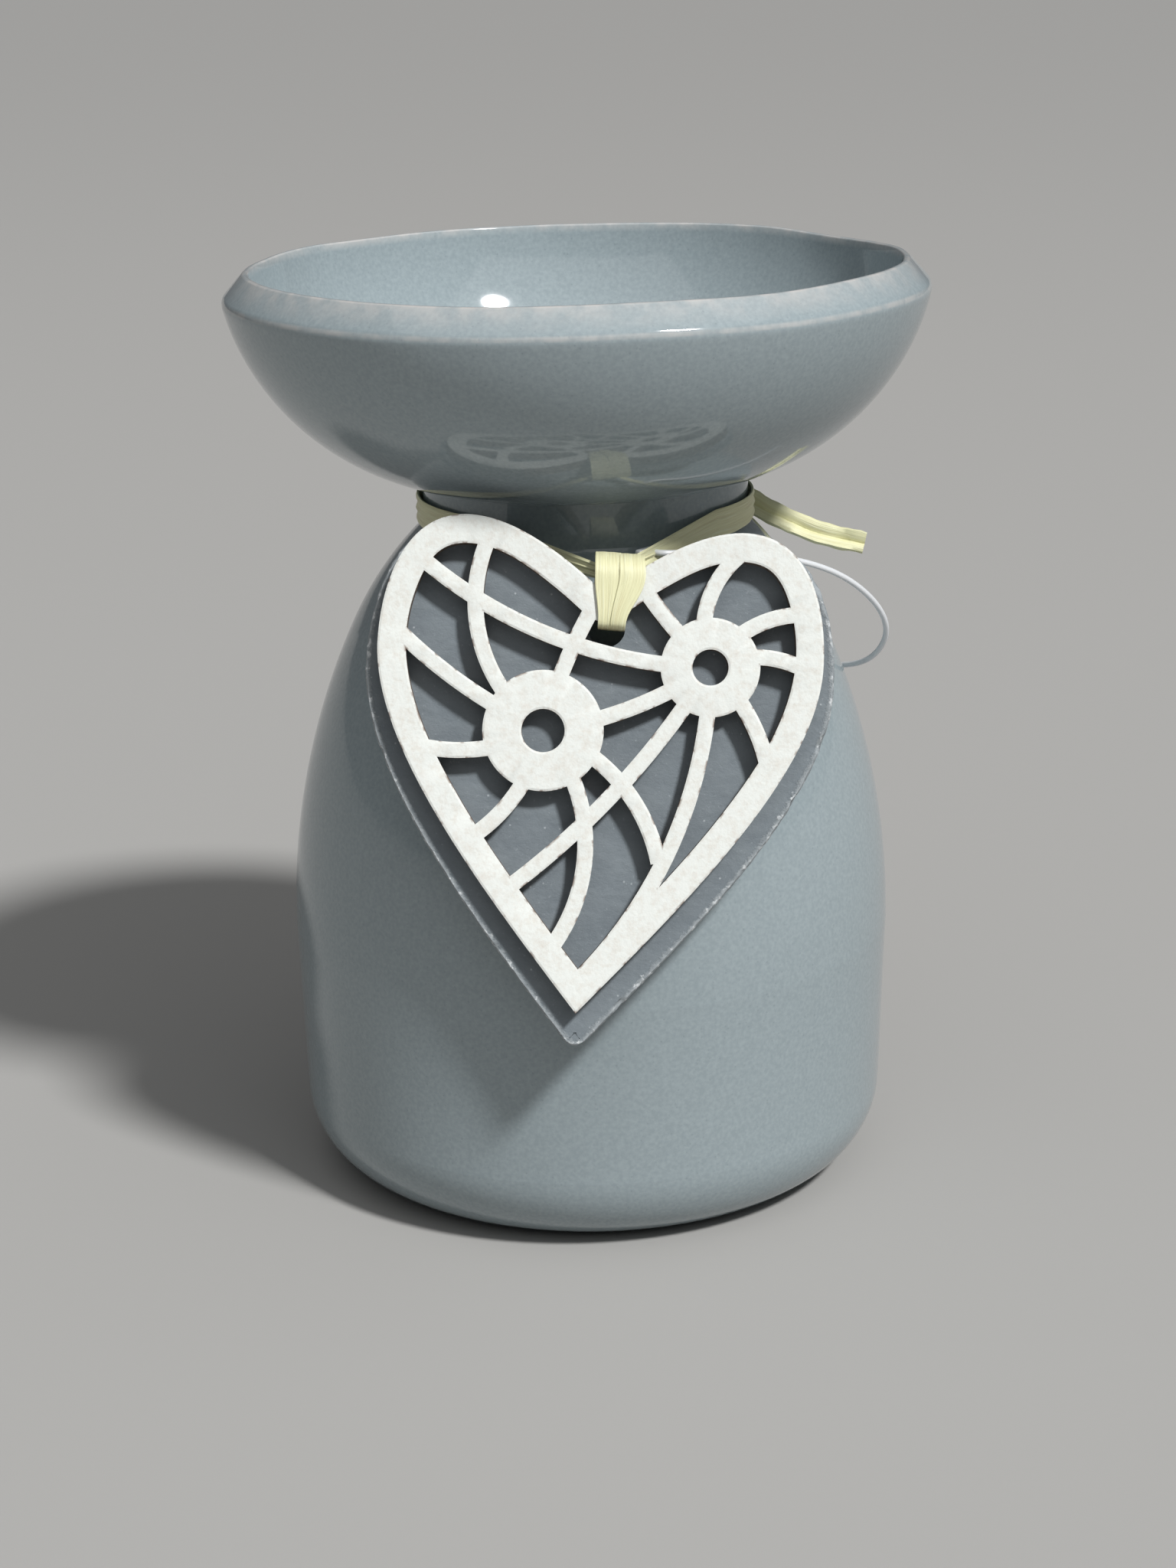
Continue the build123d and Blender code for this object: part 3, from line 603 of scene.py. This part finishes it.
dust_grain = grain(slate_finish, slate_where, slate_dust_size, 4, 0.7)
slate_dust = spread(slate_finish, dust_grain, 0.62, 0.78, 0, 0.7)
slate_flecks = reckon(slate_finish, "MAXIMUM", slate_flecks, slate_dust)
slate_flecks = reckon(slate_finish, "MULTIPLY", slate_flecks, 0.6)
slate_tone = lay_over(slate_finish, slate_tone, slate_fleck_colour, slate_flecks)
flaked = add_node(slate_finish, "Attribute")
flaked.attribute_name = "flaked"
flake_grain = grain(slate_finish, slate_where, slate_flake_size, 5, 0.7)
flake_reach = reckon(slate_finish, "ADD", flaked.outputs["Fac"], flake_grain)
flake_amount = spread(slate_finish, flake_reach, 1.15, 1.45)
slate_tone = lay_over(slate_finish, slate_tone, slate_edge_colour, flake_amount)
chip_grain = grain(slate_finish, slate_where, slate_chip_size, 3, 0.6)
near_chip = reckon(slate_finish, "MULTIPLY", flaked.outputs["Fac"], 0.4)
chip_reach = reckon(slate_finish, "ADD", chip_grain, near_chip)
slate_chips = spread(slate_finish, chip_reach, 0.93, 1.02)
slate_tone = lay_over(slate_finish, slate_tone, slate_chip_colour, slate_chips)
feed(slate_finish, slate_tone, slate_shader.inputs["Base Color"])
slate_dullness = spread(slate_finish, slate_layers, 0.3, 0.7, 0.55, 0.75)
feed(slate_finish, slate_dullness, slate_shader.inputs["Roughness"])
flake_relief = reckon(slate_finish, "MULTIPLY", flake_amount, 0.5)
slate_relief = reckon(slate_finish, "ADD", slate_layers, flake_relief)
slate_bumps = emboss(slate_finish, slate_relief, slate_relief_depth, 0.5)
feed(slate_finish, slate_bumps, slate_shader.inputs["Normal"])

slate_piece = as_piece("slate_heart_riven", slate_shape, slate_finish, crease=35)
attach(slate_piece, "pendant")
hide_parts("slate_heart")

# Fretwork heart: thin fibreboard, cut by laser to a frame, two hubs and their curved spokes, rolled with
# matt white paint on its face and glued flat on the slate. The cut walls stay the brown of scorched board.
fretwork_out = heart_place.to_3x3() @ up
paint_edge = 0.0003
paint_fall = 0.0001
paint_colour = (0.735, 0.755, 0.72, 1)
paint_pit_colour = (0.60, 0.55, 0.48, 1)
paint_rub_colour = (0.19, 0.13, 0.10, 1)
board_colour = (0.20, 0.155, 0.12, 1)
board_scorch_colour = (0.09, 0.07, 0.058, 1)
paint_pit_size = 0.0012
rub_patch_size = 0.0016
stipple_size = 0.0005
stipple_depth = 0.00015
board_fibre_size = 0.0008
board_fibre_depth = 0.0002

fretwork_shape = bmesh.new()
fretwork_shape.from_mesh(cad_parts["fretwork_heart"].data)
bmesh.ops.remove_doubles(fretwork_shape, verts=fretwork_shape.verts, dist=1e-6)
painted = [f for f in fretwork_shape.faces if f.normal.dot(fretwork_out) > 0.99]
for f in fretwork_shape.faces:
    f.material_index = 1
on_face = set(painted)
face_rim = [e for e in fretwork_shape.edges if sum(f in on_face for f in e.link_faces) == 1]
bmesh.ops.inset_region(
    fretwork_shape, faces=painted, thickness=paint_edge, use_even_offset=True, use_boundary=True
)
rubbed_layer = fretwork_shape.verts.layers.float.new("rubbed")
for v in {v for e in face_rim if e.is_valid for v in e.verts}:
    v[rubbed_layer] = 1.0
    v.co -= fretwork_out * paint_fall
for f in fretwork_shape.faces:
    f.normal_update()
    if f.normal.dot(fretwork_out) > 0.5:
        f.material_index = 0

paint, paint_shader = new_finish("matt_white_paint")
paint_where = add_node(paint, "TexCoord").outputs["Object"]
paint_pits = spread(paint, grain(paint, paint_where, paint_pit_size, 6, 0.7), 0.46, 0.72, 0, 0.6)
paint_tone = lay_over(paint, paint_colour, paint_pit_colour, paint_pits)
rubbed = add_node(paint, "Attribute")
rubbed.attribute_name = "rubbed"
rub_patches = spread(paint, grain(paint, paint_where, rub_patch_size, 4), 0.54, 0.64, 0.04, 1)
rub_amount = reckon(paint, "MULTIPLY", rubbed.outputs["Fac"], rub_patches)
paint_tone = lay_over(paint, paint_tone, paint_rub_colour, rub_amount)
feed(paint, paint_tone, paint_shader.inputs["Base Color"])
roller_stipple = grain(paint, paint_where, stipple_size, 3)
feed(paint, emboss(paint, roller_stipple, stipple_depth, 0.35), paint_shader.inputs["Normal"])
paint_shader.inputs["Roughness"].default_value = 0.7

board, board_shader = new_finish("scorched_board")
board_where = add_node(board, "TexCoord").outputs["Object"]
board_fibres = spread(board, grain(board, board_where, board_fibre_size, 4), 0.35, 0.65)
board_tone = lay_over(board, board_scorch_colour, board_colour, board_fibres)
feed(board, board_tone, board_shader.inputs["Base Color"])
feed(board, emboss(board, board_fibres, board_fibre_depth, 0.4), board_shader.inputs["Normal"])
board_shader.inputs["Roughness"].default_value = 0.85

fretwork_piece = as_piece("fretwork_heart_painted", fretwork_shape, paint, board, crease=25)
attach(fretwork_piece, "pendant")
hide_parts("fretwork_heart")

# Raffia band: a strip of dried palm leaf, creased along its length, passed round the neck and drawn
# together in front, where both legs come down to the heart. Its ends are tied behind the neck.
neck_band_reach = 0.0253
band_height = 0.1036
band_width = 0.0042
band_front_width = 0.0021
band_bend = 0.00055
heart_strand = Vector((0.003336, -0.033818, 0.100275))
raffia_ply = 0.0003
raffia_crinkle = 0.00016
raffia_crinkle_scale = 520
raffia_colour = (0.76, 0.75, 0.47, 1)
raffia_fibre_colour = (0.66, 0.62, 0.37, 1)
raffia_pale_colour = (0.81, 0.81, 0.59, 1)
raffia_fibres_across = 14
raffia_fibres_along = 90
raffia_fibre_depth = 0.0003
creased_section = (
    (-0.5, 0),
    (-0.34, 0.00022),
    (-0.15, -0.0001),
    (0.04, 0.00024),
    (0.22, -0.00005),
    (0.38, 0.0002),
    (0.5, 0),
)
knot_angle = math.radians(45)
band_right_steps = 16
band_left_steps = 32
band_leg_steps = 9
band_bend_steps = 5


def station(place, across, out, width):
    frame_here = Matrix.Identity(4)
    frame_here.col[0] = (*(across * width), 0)
    frame_here.col[1] = (*out, 0)
    frame_here.col[2] = (*across.cross(out), 0)
    frame_here.col[3] = (*place, 1)
    return frame_here


def lay_strip(shape, section, stations):
    across_layer = shape.verts.layers.float.get("across") or shape.verts.layers.float.new("across")
    along_layer = shape.verts.layers.float.get("along") or shape.verts.layers.float.new("along")
    verts = [shape.verts.new(stations[0] @ Vector((u, fold, 0))) for u, fold in section]
    other_strip = 3.7 * len(shape.faces)
    for v, (u, fold) in zip(verts, section):
        v[across_layer] = u + other_strip
    edges = [shape.edges.new(pair) for pair in zip(verts, verts[1:])]
    along = 0.0
    for last, here in zip(stations, stations[1:]):
        made = bmesh.ops.extrude_edge_only(shape, edges=edges)["geom"]
        edges = [g for g in made if isinstance(g, bmesh.types.BMEdge)]
        verts = [g for g in made if isinstance(g, bmesh.types.BMVert)]
        bmesh.ops.transform(shape, matrix=here @ last.inverted(), verts=verts)
        along += (here.translation - last.translation).length
        for v in verts:
            v[along_layer] = along


def dry_out(shape, crinkle=raffia_crinkle):
    bmesh.ops.recalc_face_normals(shape, faces=shape.faces)
    for v in shape.verts:
        v.co += v.normal * crinkle * noise.noise(v.co * raffia_crinkle_scale)
    bmesh.ops.solidify(shape, geom=shape.faces[:], thickness=raffia_ply)


raffia, raffia_shader = new_finish("dried_raffia")
fibre_across = add_node(raffia, "Attribute")
fibre_across.attribute_name = "across"
fibre_along = add_node(raffia, "Attribute")
fibre_along.attribute_name = "along"
fibre_where = add_node(raffia, "CombineXYZ")
across_count = reckon(raffia, "MULTIPLY", fibre_across.outputs["Fac"], raffia_fibres_across)
along_count = reckon(raffia, "MULTIPLY", fibre_along.outputs["Fac"], raffia_fibres_along)
feed(raffia, across_count, fibre_where.inputs["X"])
feed(raffia, along_count, fibre_where.inputs["Y"])
fibres = grain(raffia, fibre_where.outputs[0], 1, 4, 0.6)
raffia_tone = lay_over(raffia, raffia_fibre_colour, raffia_colour, spread(raffia, fibres, 0.3, 0.52))
raffia_tone = lay_over(raffia, raffia_tone, raffia_pale_colour, spread(raffia, fibres, 0.55, 0.7))
feed(raffia, raffia_tone, raffia_shader.inputs["Base Color"])
feed(raffia, emboss(raffia, fibres, raffia_fibre_depth, 0.5), raffia_shader.inputs["Normal"])
raffia_shader.inputs["Roughness"].default_value = 0.5

band_turn = math.atan2(heart_strand.x, -heart_strand.y)
strand_reach = math.hypot(heart_strand.x, heart_strand.y)
leg_bearing = -math.asin((neck_band_reach - band_bend) / strand_reach)


def round_from(bearing, centre, reach, height, width):
    out = Vector((math.cos(bearing), math.sin(bearing), 0))
    return station(Vector((0, centre, height)) + out * reach, up, out, width)


def sweep_of(first, last, steps):
    return [first + (last - first) * step / steps for step in range(steps + 1)]


knot_bearing = knot_angle - band_turn
left_leg_bearing = -math.pi - leg_bearing
band_stations = [
    round_from(b, 0, neck_band_reach, band_height, band_width)
    for b in sweep_of(knot_bearing, leg_bearing, band_right_steps)
]
leg_ends = [
    round_from(b, -strand_reach, band_bend, heart_strand.z, band_front_width)
    for b in sweep_of(leg_bearing, left_leg_bearing, band_bend_steps)
]
neck_left = [
    round_from(b, 0, neck_band_reach, band_height, band_width)
    for b in sweep_of(left_leg_bearing, knot_bearing - 2 * math.pi, band_left_steps)
]
leg_shares = [step / band_leg_steps for step in range(1, band_leg_steps)]
band_stations += [band_stations[-1].lerp(leg_ends[0], share) for share in leg_shares]
band_stations += leg_ends
band_stations += [leg_ends[-1].lerp(neck_left[0], share) for share in leg_shares]
band_stations += neck_left

band_shape = bmesh.new()
lay_strip(band_shape, creased_section, band_stations)
dry_out(band_shape)
band_shape.transform(Matrix.Rotation(band_turn, 4, "Z"))

band_piece = as_piece("raffia_band_creased", band_shape, raffia, crease=60)
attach(band_piece, "collar")
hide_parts("raffia_band")

# Raffia loop: two flat strips laid over the band's front, spread side by side down over the notch, and
# passed back through the fretwork and the slate's hole. The whole heart hangs on it.
loop_course = (
    (0.0614, -0.0016),
    (0.0575, -0.0009),
    (0.0546, -0.0008),
    (0.0537, -0.0003),
    (0.0534, 0.0010),
    (0.0533, 0.0035),
    (0.0533, 0.0062),
    (0.0535, 0.0071),
    (0.0541, 0.0076),
    (0.0556, 0.0077),
    (0.0576, 0.0077),
    (0.0596, 0.0077),
    (0.0609, 0.0077),
    (0.0621, 0.0075),
    (0.0631, 0.0067),
    (0.0639, 0.0052),
    (0.0645, 0.0031),
    (0.0643, 0.0010),
    (0.0636, -0.0008),
    (0.0626, -0.0014),
    (0.0614, -0.0016),
)
loop_crown_level = 0.0641
loop_shoulder_level = 0.0606
loop_low_level = 0.0545
loop_strips = (
    {"crown": (0.0001, 0.0035), "shoulder": (0.0003, 0.0036), "low": (0.0004, 0.0020), "lift": 0.0},
    {"crown": (0.0034, 0.0035), "shoulder": (0.0037, 0.0036), "low": (0.0021, 0.0020), "lift": 0.00026},
)
loop_section = (
    (-0.5, 0.00004),
    (-0.42, 0.00012),
    (-0.2, 0.00002),
    (0.02, 0.00010),
    (0.22, 0.00001),
    (0.43, 0.00009),
    (0.5, 0.0),
)
loop_crinkle = 0.00008
loop_back_depth = 0.0005
loop_middle_depth = 0.004


def follow(places, across, widths):
    stations = []
    for index, (place, width) in enumerate(zip(places, widths)):
        before = places[max(index - 1, 0)]
        after = places[min(index + 1, len(places) - 1)]
        heading = (after - before).normalized()
        side = (across - heading * across.dot(heading)).normalized()
        stations.append(station(place, side, heading.cross(side), width))
    return stations


loop_shape = bmesh.new()
across_heart = Vector((1, 0, 0))
for strip in loop_strips:
    strip_places = []
    strip_widths = []
    for rise, depth in loop_course:
        to_shoulder = ease(loop_low_level, loop_shoulder_level, rise)
        to_crown = ease(loop_shoulder_level, loop_crown_level, rise)
        if depth < loop_back_depth:
            to_crown = to_shoulder
        side, width = (
            (low + (shoulder - low) * to_shoulder) * (1 - to_crown) + crown * to_crown
            for low, shoulder, crown in zip(strip["low"], strip["shoulder"], strip["crown"])
        )
        lifted = strip["lift"] * (1 if depth > loop_middle_depth else -1)
        strip_places.append(Vector((side, rise, depth + lifted)))
        strip_widths.append(width)
    lay_strip(loop_shape, loop_section, follow(strip_places, across_heart, strip_widths))
dry_out(loop_shape, loop_crinkle)
loop_shape.transform(heart_place)

loop_piece = as_piece("raffia_loop_spread", loop_shape, raffia, crease=60)
loop_soft = loop_piece.modifiers.new("soft", "SUBSURF")
loop_soft.levels = 2
loop_soft.render_levels = 2
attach(loop_piece, "pendant")
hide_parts("raffia_loop")

# Raffia knot and its two cut ends: the strip's ends cross in one overhand knot behind the neck, and
# stick out of it, folded lengthwise and snipped square.
knot_place = Matrix.Rotation(knot_angle, 4, "Z") @ Matrix.Translation((0.0272, 0, band_height))
knot_half_depth = 0.0012
knot_half_length = 0.0030
knot_drawn_half = 0.0024
knot_steps = 24
knot_turns = ((0.55, 0.0), (-0.6, 0.7), (1.35, 0.2))
knot_strip_width = 0.0022
tail_section = (
    (-0.5, -0.0001),
    (-0.44, 0.0004),
    (-0.2, 0.00035),
    (0.0, -0.0004),
    (0.16, 0.0002),
    (0.4, 0.00045),
    (0.5, 0.0001),
)
tail_root_width = 0.0041
tail_end_width = 0.0035
tail_steps = 22
tail_crinkle = 0.00035
tail_smoothings = 3
tail_across = {"raffia_tail_right": Vector((0, 0.5, 0.87)), "raffia_tail_back": up}
tails = {
    "raffia_tail_right": (
        Vector((0.0215, 0.0160, 0.1028)),
        Vector((0.0285, 0.0148, 0.0988)),
        Vector((0.0360, 0.0134, 0.0955)),
        Vector((0.0434, 0.0121, 0.0940)),
    ),
    "raffia_tail_back": (
        Vector((0.0165, 0.0214, 0.1028)),
        Vector((0.0130, 0.0266, 0.0992)),
        Vector((0.0095, 0.0319, 0.0966)),
        Vector((0.0061, 0.0369, 0.0951)),
    ),
}

knot_shape = bmesh.new()
for tilt, shift in knot_turns:
    slant = Matrix.Rotation(tilt, 4, "X")
    knot_stations = []
    for turn_angle in sweep_of(0, 2 * math.pi, knot_steps):
        around = Vector((math.cos(turn_angle + shift), math.sin(turn_angle + shift), 0))
        place = slant @ Vector((around.x * knot_half_depth, around.y * knot_drawn_half, 0))
        out = slant @ Vector((around.x / knot_half_depth, around.y / knot_half_length, 0)).normalized()
        knot_stations.append(station(place, slant @ up, out, knot_strip_width))
    lay_strip(knot_shape, loop_section, knot_stations)
dry_out(knot_shape)
knot_shape.transform(knot_place)

knot_piece = as_piece("raffia_knot_tied", knot_shape, raffia, crease=60)
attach(knot_piece, "collar")
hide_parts("raffia_knot")

for node_name, course in tails.items():
    tail_places = []
    tail_widths = []
    for share in sweep_of(0, 1, tail_steps):
        spans = len(course) - 1
        near = min(int(share * spans), spans - 1)
        tail_places.append(course[near].lerp(course[near + 1], share * spans - near))
        tail_widths.append(tail_root_width + (tail_end_width - tail_root_width) * share)
    for smoothing in range(tail_smoothings):
        inner = [(a + 2 * b + c) / 4 for a, b, c in zip(tail_places, tail_places[1:], tail_places[2:])]
        tail_places = [tail_places[0], *inner, tail_places[-1]]
    tail_shape = bmesh.new()
    lay_strip(tail_shape, tail_section, follow(tail_places, tail_across[node_name], tail_widths))
    dry_out(tail_shape, tail_crinkle)
    tail_piece = as_piece(node_name + "_folded", tail_shape, raffia, crease=60)
    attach(tail_piece, "collar")
    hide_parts(node_name)

# Tag pin: one moulding of clear nylon. A cross-bar is caught behind the band's right leg, a thin filament
# springs out in a bow beside the dome, and a flat paddle behind the dome once held a tag.
pin_diameter = 0.0009
pin_course = (
    (0.009304, -0.026671, 0.101782),
    (0.01115, -0.02828, 0.1017),
    (0.0190, -0.0223, 0.1009),
    (0.0305, -0.0142, 0.0977),
    (0.0382, -0.0090, 0.0940),
    (0.0440, -0.0032, 0.0882),
    (0.0463, 0.0010, 0.0826),
    (0.0446, 0.0050, 0.0776),
    (0.0413, 0.0110, 0.0746),
    (0.0376, 0.0203, 0.0726),
    (0.0318, 0.0296, 0.0714),
)
pin_bar_length = 0.005
pin_bar_thickness = 0.0011
pin_paddle_size = Vector((0.0009, 0.003, 0.007))
pin_corner = 0.0003
nylon_colour = (0.86, 0.88, 0.90, 1)
nylon_haze_size = 0.0006
nylon_clearness = 0.2
nylon_refraction = 1.53

nylon, nylon_shader = new_finish("clear_nylon")
nylon_where = add_node(nylon, "TexCoord").outputs["Object"]
nylon_haze = grain(nylon, nylon_where, nylon_haze_size, 2)
feed(nylon, spread(nylon, nylon_haze, 0.3, 0.7, 0.28, 0.34), nylon_shader.inputs["Roughness"])
nylon_shader.inputs["Base Color"].default_value = nylon_colour
nylon_shader.inputs["Transmission Weight"].default_value = nylon_clearness
nylon_shader.inputs["IOR"].default_value = nylon_refraction

pin_line = bpy.data.curves.new("tag_pin_filament", "CURVE")
pin_line.dimensions = "3D"
pin_line.bevel_depth = pin_diameter / 2
pin_line.bevel_resolution = 5
pin_line.resolution_u = 10
pin_line.use_fill_caps = True
pin_line.materials.append(nylon)
pin_spline = pin_line.splines.new("NURBS")
pin_spline.points.add(len(pin_course) - 1)
for point, place in zip(pin_spline.points, pin_course):
    point.co = (*place, 1)
pin_spline.order_u = 3
pin_spline.use_endpoint_u = True
pin_piece = bpy.data.objects.new("tag_pin_filament", pin_line)
bpy.context.scene.collection.objects.link(pin_piece)
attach(pin_piece, "collar")
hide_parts("tag_pin")


def round_all(shape, radius):
    bmesh.ops.bevel(
        shape, geom=shape.edges[:], offset=radius, affect="EDGES", segments=3, profile=0.5, material=-1
    )


def stand_along(place, heading):
    side = heading.cross(up).normalized()
    return Matrix.Translation(place) @ Matrix((side, heading.cross(side), heading)).transposed().to_4x4()


pin_start = Vector(pin_course[0])
pin_heading = (Vector(pin_course[1]) - pin_start).normalized()
pin_end = Vector(pin_course[-1])
paddle_heading = (pin_end - Vector(pin_course[-2])).normalized()

bar_shape = bmesh.new()
bmesh.ops.create_cube(bar_shape, size=1)
bar_size = (pin_bar_length, pin_bar_thickness, pin_bar_thickness)
bmesh.ops.scale(bar_shape, vec=bar_size, verts=bar_shape.verts)
bmesh.ops.translate(bar_shape, vec=(0, 0, -pin_bar_thickness / 2), verts=bar_shape.verts)
round_all(bar_shape, pin_corner)
bar_shape.transform(stand_along(pin_start, pin_heading))
bar_piece = as_piece("tag_pin_bar_moulded", bar_shape, nylon)
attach(bar_piece, "collar")
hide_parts("tag_pin_bar")

paddle_shape = bmesh.new()
bmesh.ops.create_cube(paddle_shape, size=1)
bmesh.ops.scale(paddle_shape, vec=pin_paddle_size, verts=paddle_shape.verts)
bmesh.ops.translate(paddle_shape, vec=(0, 0, pin_paddle_size.z / 2), verts=paddle_shape.verts)
round_all(paddle_shape, pin_corner)
paddle_shape.transform(stand_along(pin_end, paddle_heading))
paddle_piece = as_piece("tag_pin_paddle_moulded", paddle_shape, nylon)
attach(paddle_piece, "collar")
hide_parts("tag_pin_paddle")

# Studio: a plain pale floor, one soft key light high on the right in front, a wide softbox overhead and
# pale light all round. The camera stands where the photograph was taken from, a little rolled.
floor_colour = (0.36, 0.354, 0.342, 1)
floor_reach = 12
key_bearing = Vector((0.432, -0.492, 0.756))
key_spread = math.radians(7.4)
key_strength = 3.55
softbox_bearing = Vector((0.0, -0.39, 0.921))
softbox_distance = 1.6
softbox_size = 2.4
softbox_power = 11
sky_colour = (0.93, 0.96, 1.0, 1)
sky_strength = 0.12
camera_place = Vector((-0.00022, -0.4368, 0.1931))
camera_pitch = math.radians(90 - 17.05)
camera_roll = math.radians(-0.82)
focal_pixels = 3843
image_height = 2048
film_height = 36

floor_shape = bmesh.new()
bmesh.ops.create_grid(floor_shape, x_segments=1, y_segments=1, size=floor_reach)
floor_finish, floor_shader = new_finish("pale_floor")
floor_shader.inputs["Base Color"].default_value = floor_colour
floor_shader.inputs["Roughness"].default_value = 0.9
floor = as_piece("floor", floor_shape, floor_finish)

key_light = bpy.data.lights.new("key_light", "SUN")
key_light.angle = key_spread
key_light.energy = key_strength
softbox = bpy.data.lights.new("softbox", "AREA")
softbox.size = softbox_size
softbox.energy = softbox_power
for light, bearing in ((key_light, key_bearing), (softbox, softbox_bearing)):
    stand = bpy.data.objects.new(light.name, light)
    stand.location = bearing * softbox_distance
    stand.rotation_euler = bearing.to_track_quat("Z", "Y").to_euler()
    bpy.context.scene.collection.objects.link(stand)

sky = bpy.data.worlds.new("sky")
sky.use_nodes = True
sky.node_tree.nodes["Background"].inputs["Color"].default_value = sky_colour
sky.node_tree.nodes["Background"].inputs["Strength"].default_value = sky_strength
bpy.context.scene.world = sky
bpy.context.scene.view_settings.view_transform = "Standard"

lens = bpy.data.cameras.new("camera")
lens.sensor_width = film_height
lens.lens = focal_pixels * film_height / image_height
camera = bpy.data.objects.new("camera", lens)
camera.matrix_world = (
    Matrix.Translation(camera_place)
    @ Matrix.Rotation(camera_pitch, 4, "X")
    @ Matrix.Rotation(camera_roll, 4, "Z")
)
bpy.context.scene.collection.objects.link(camera)
bpy.context.scene.camera = camera
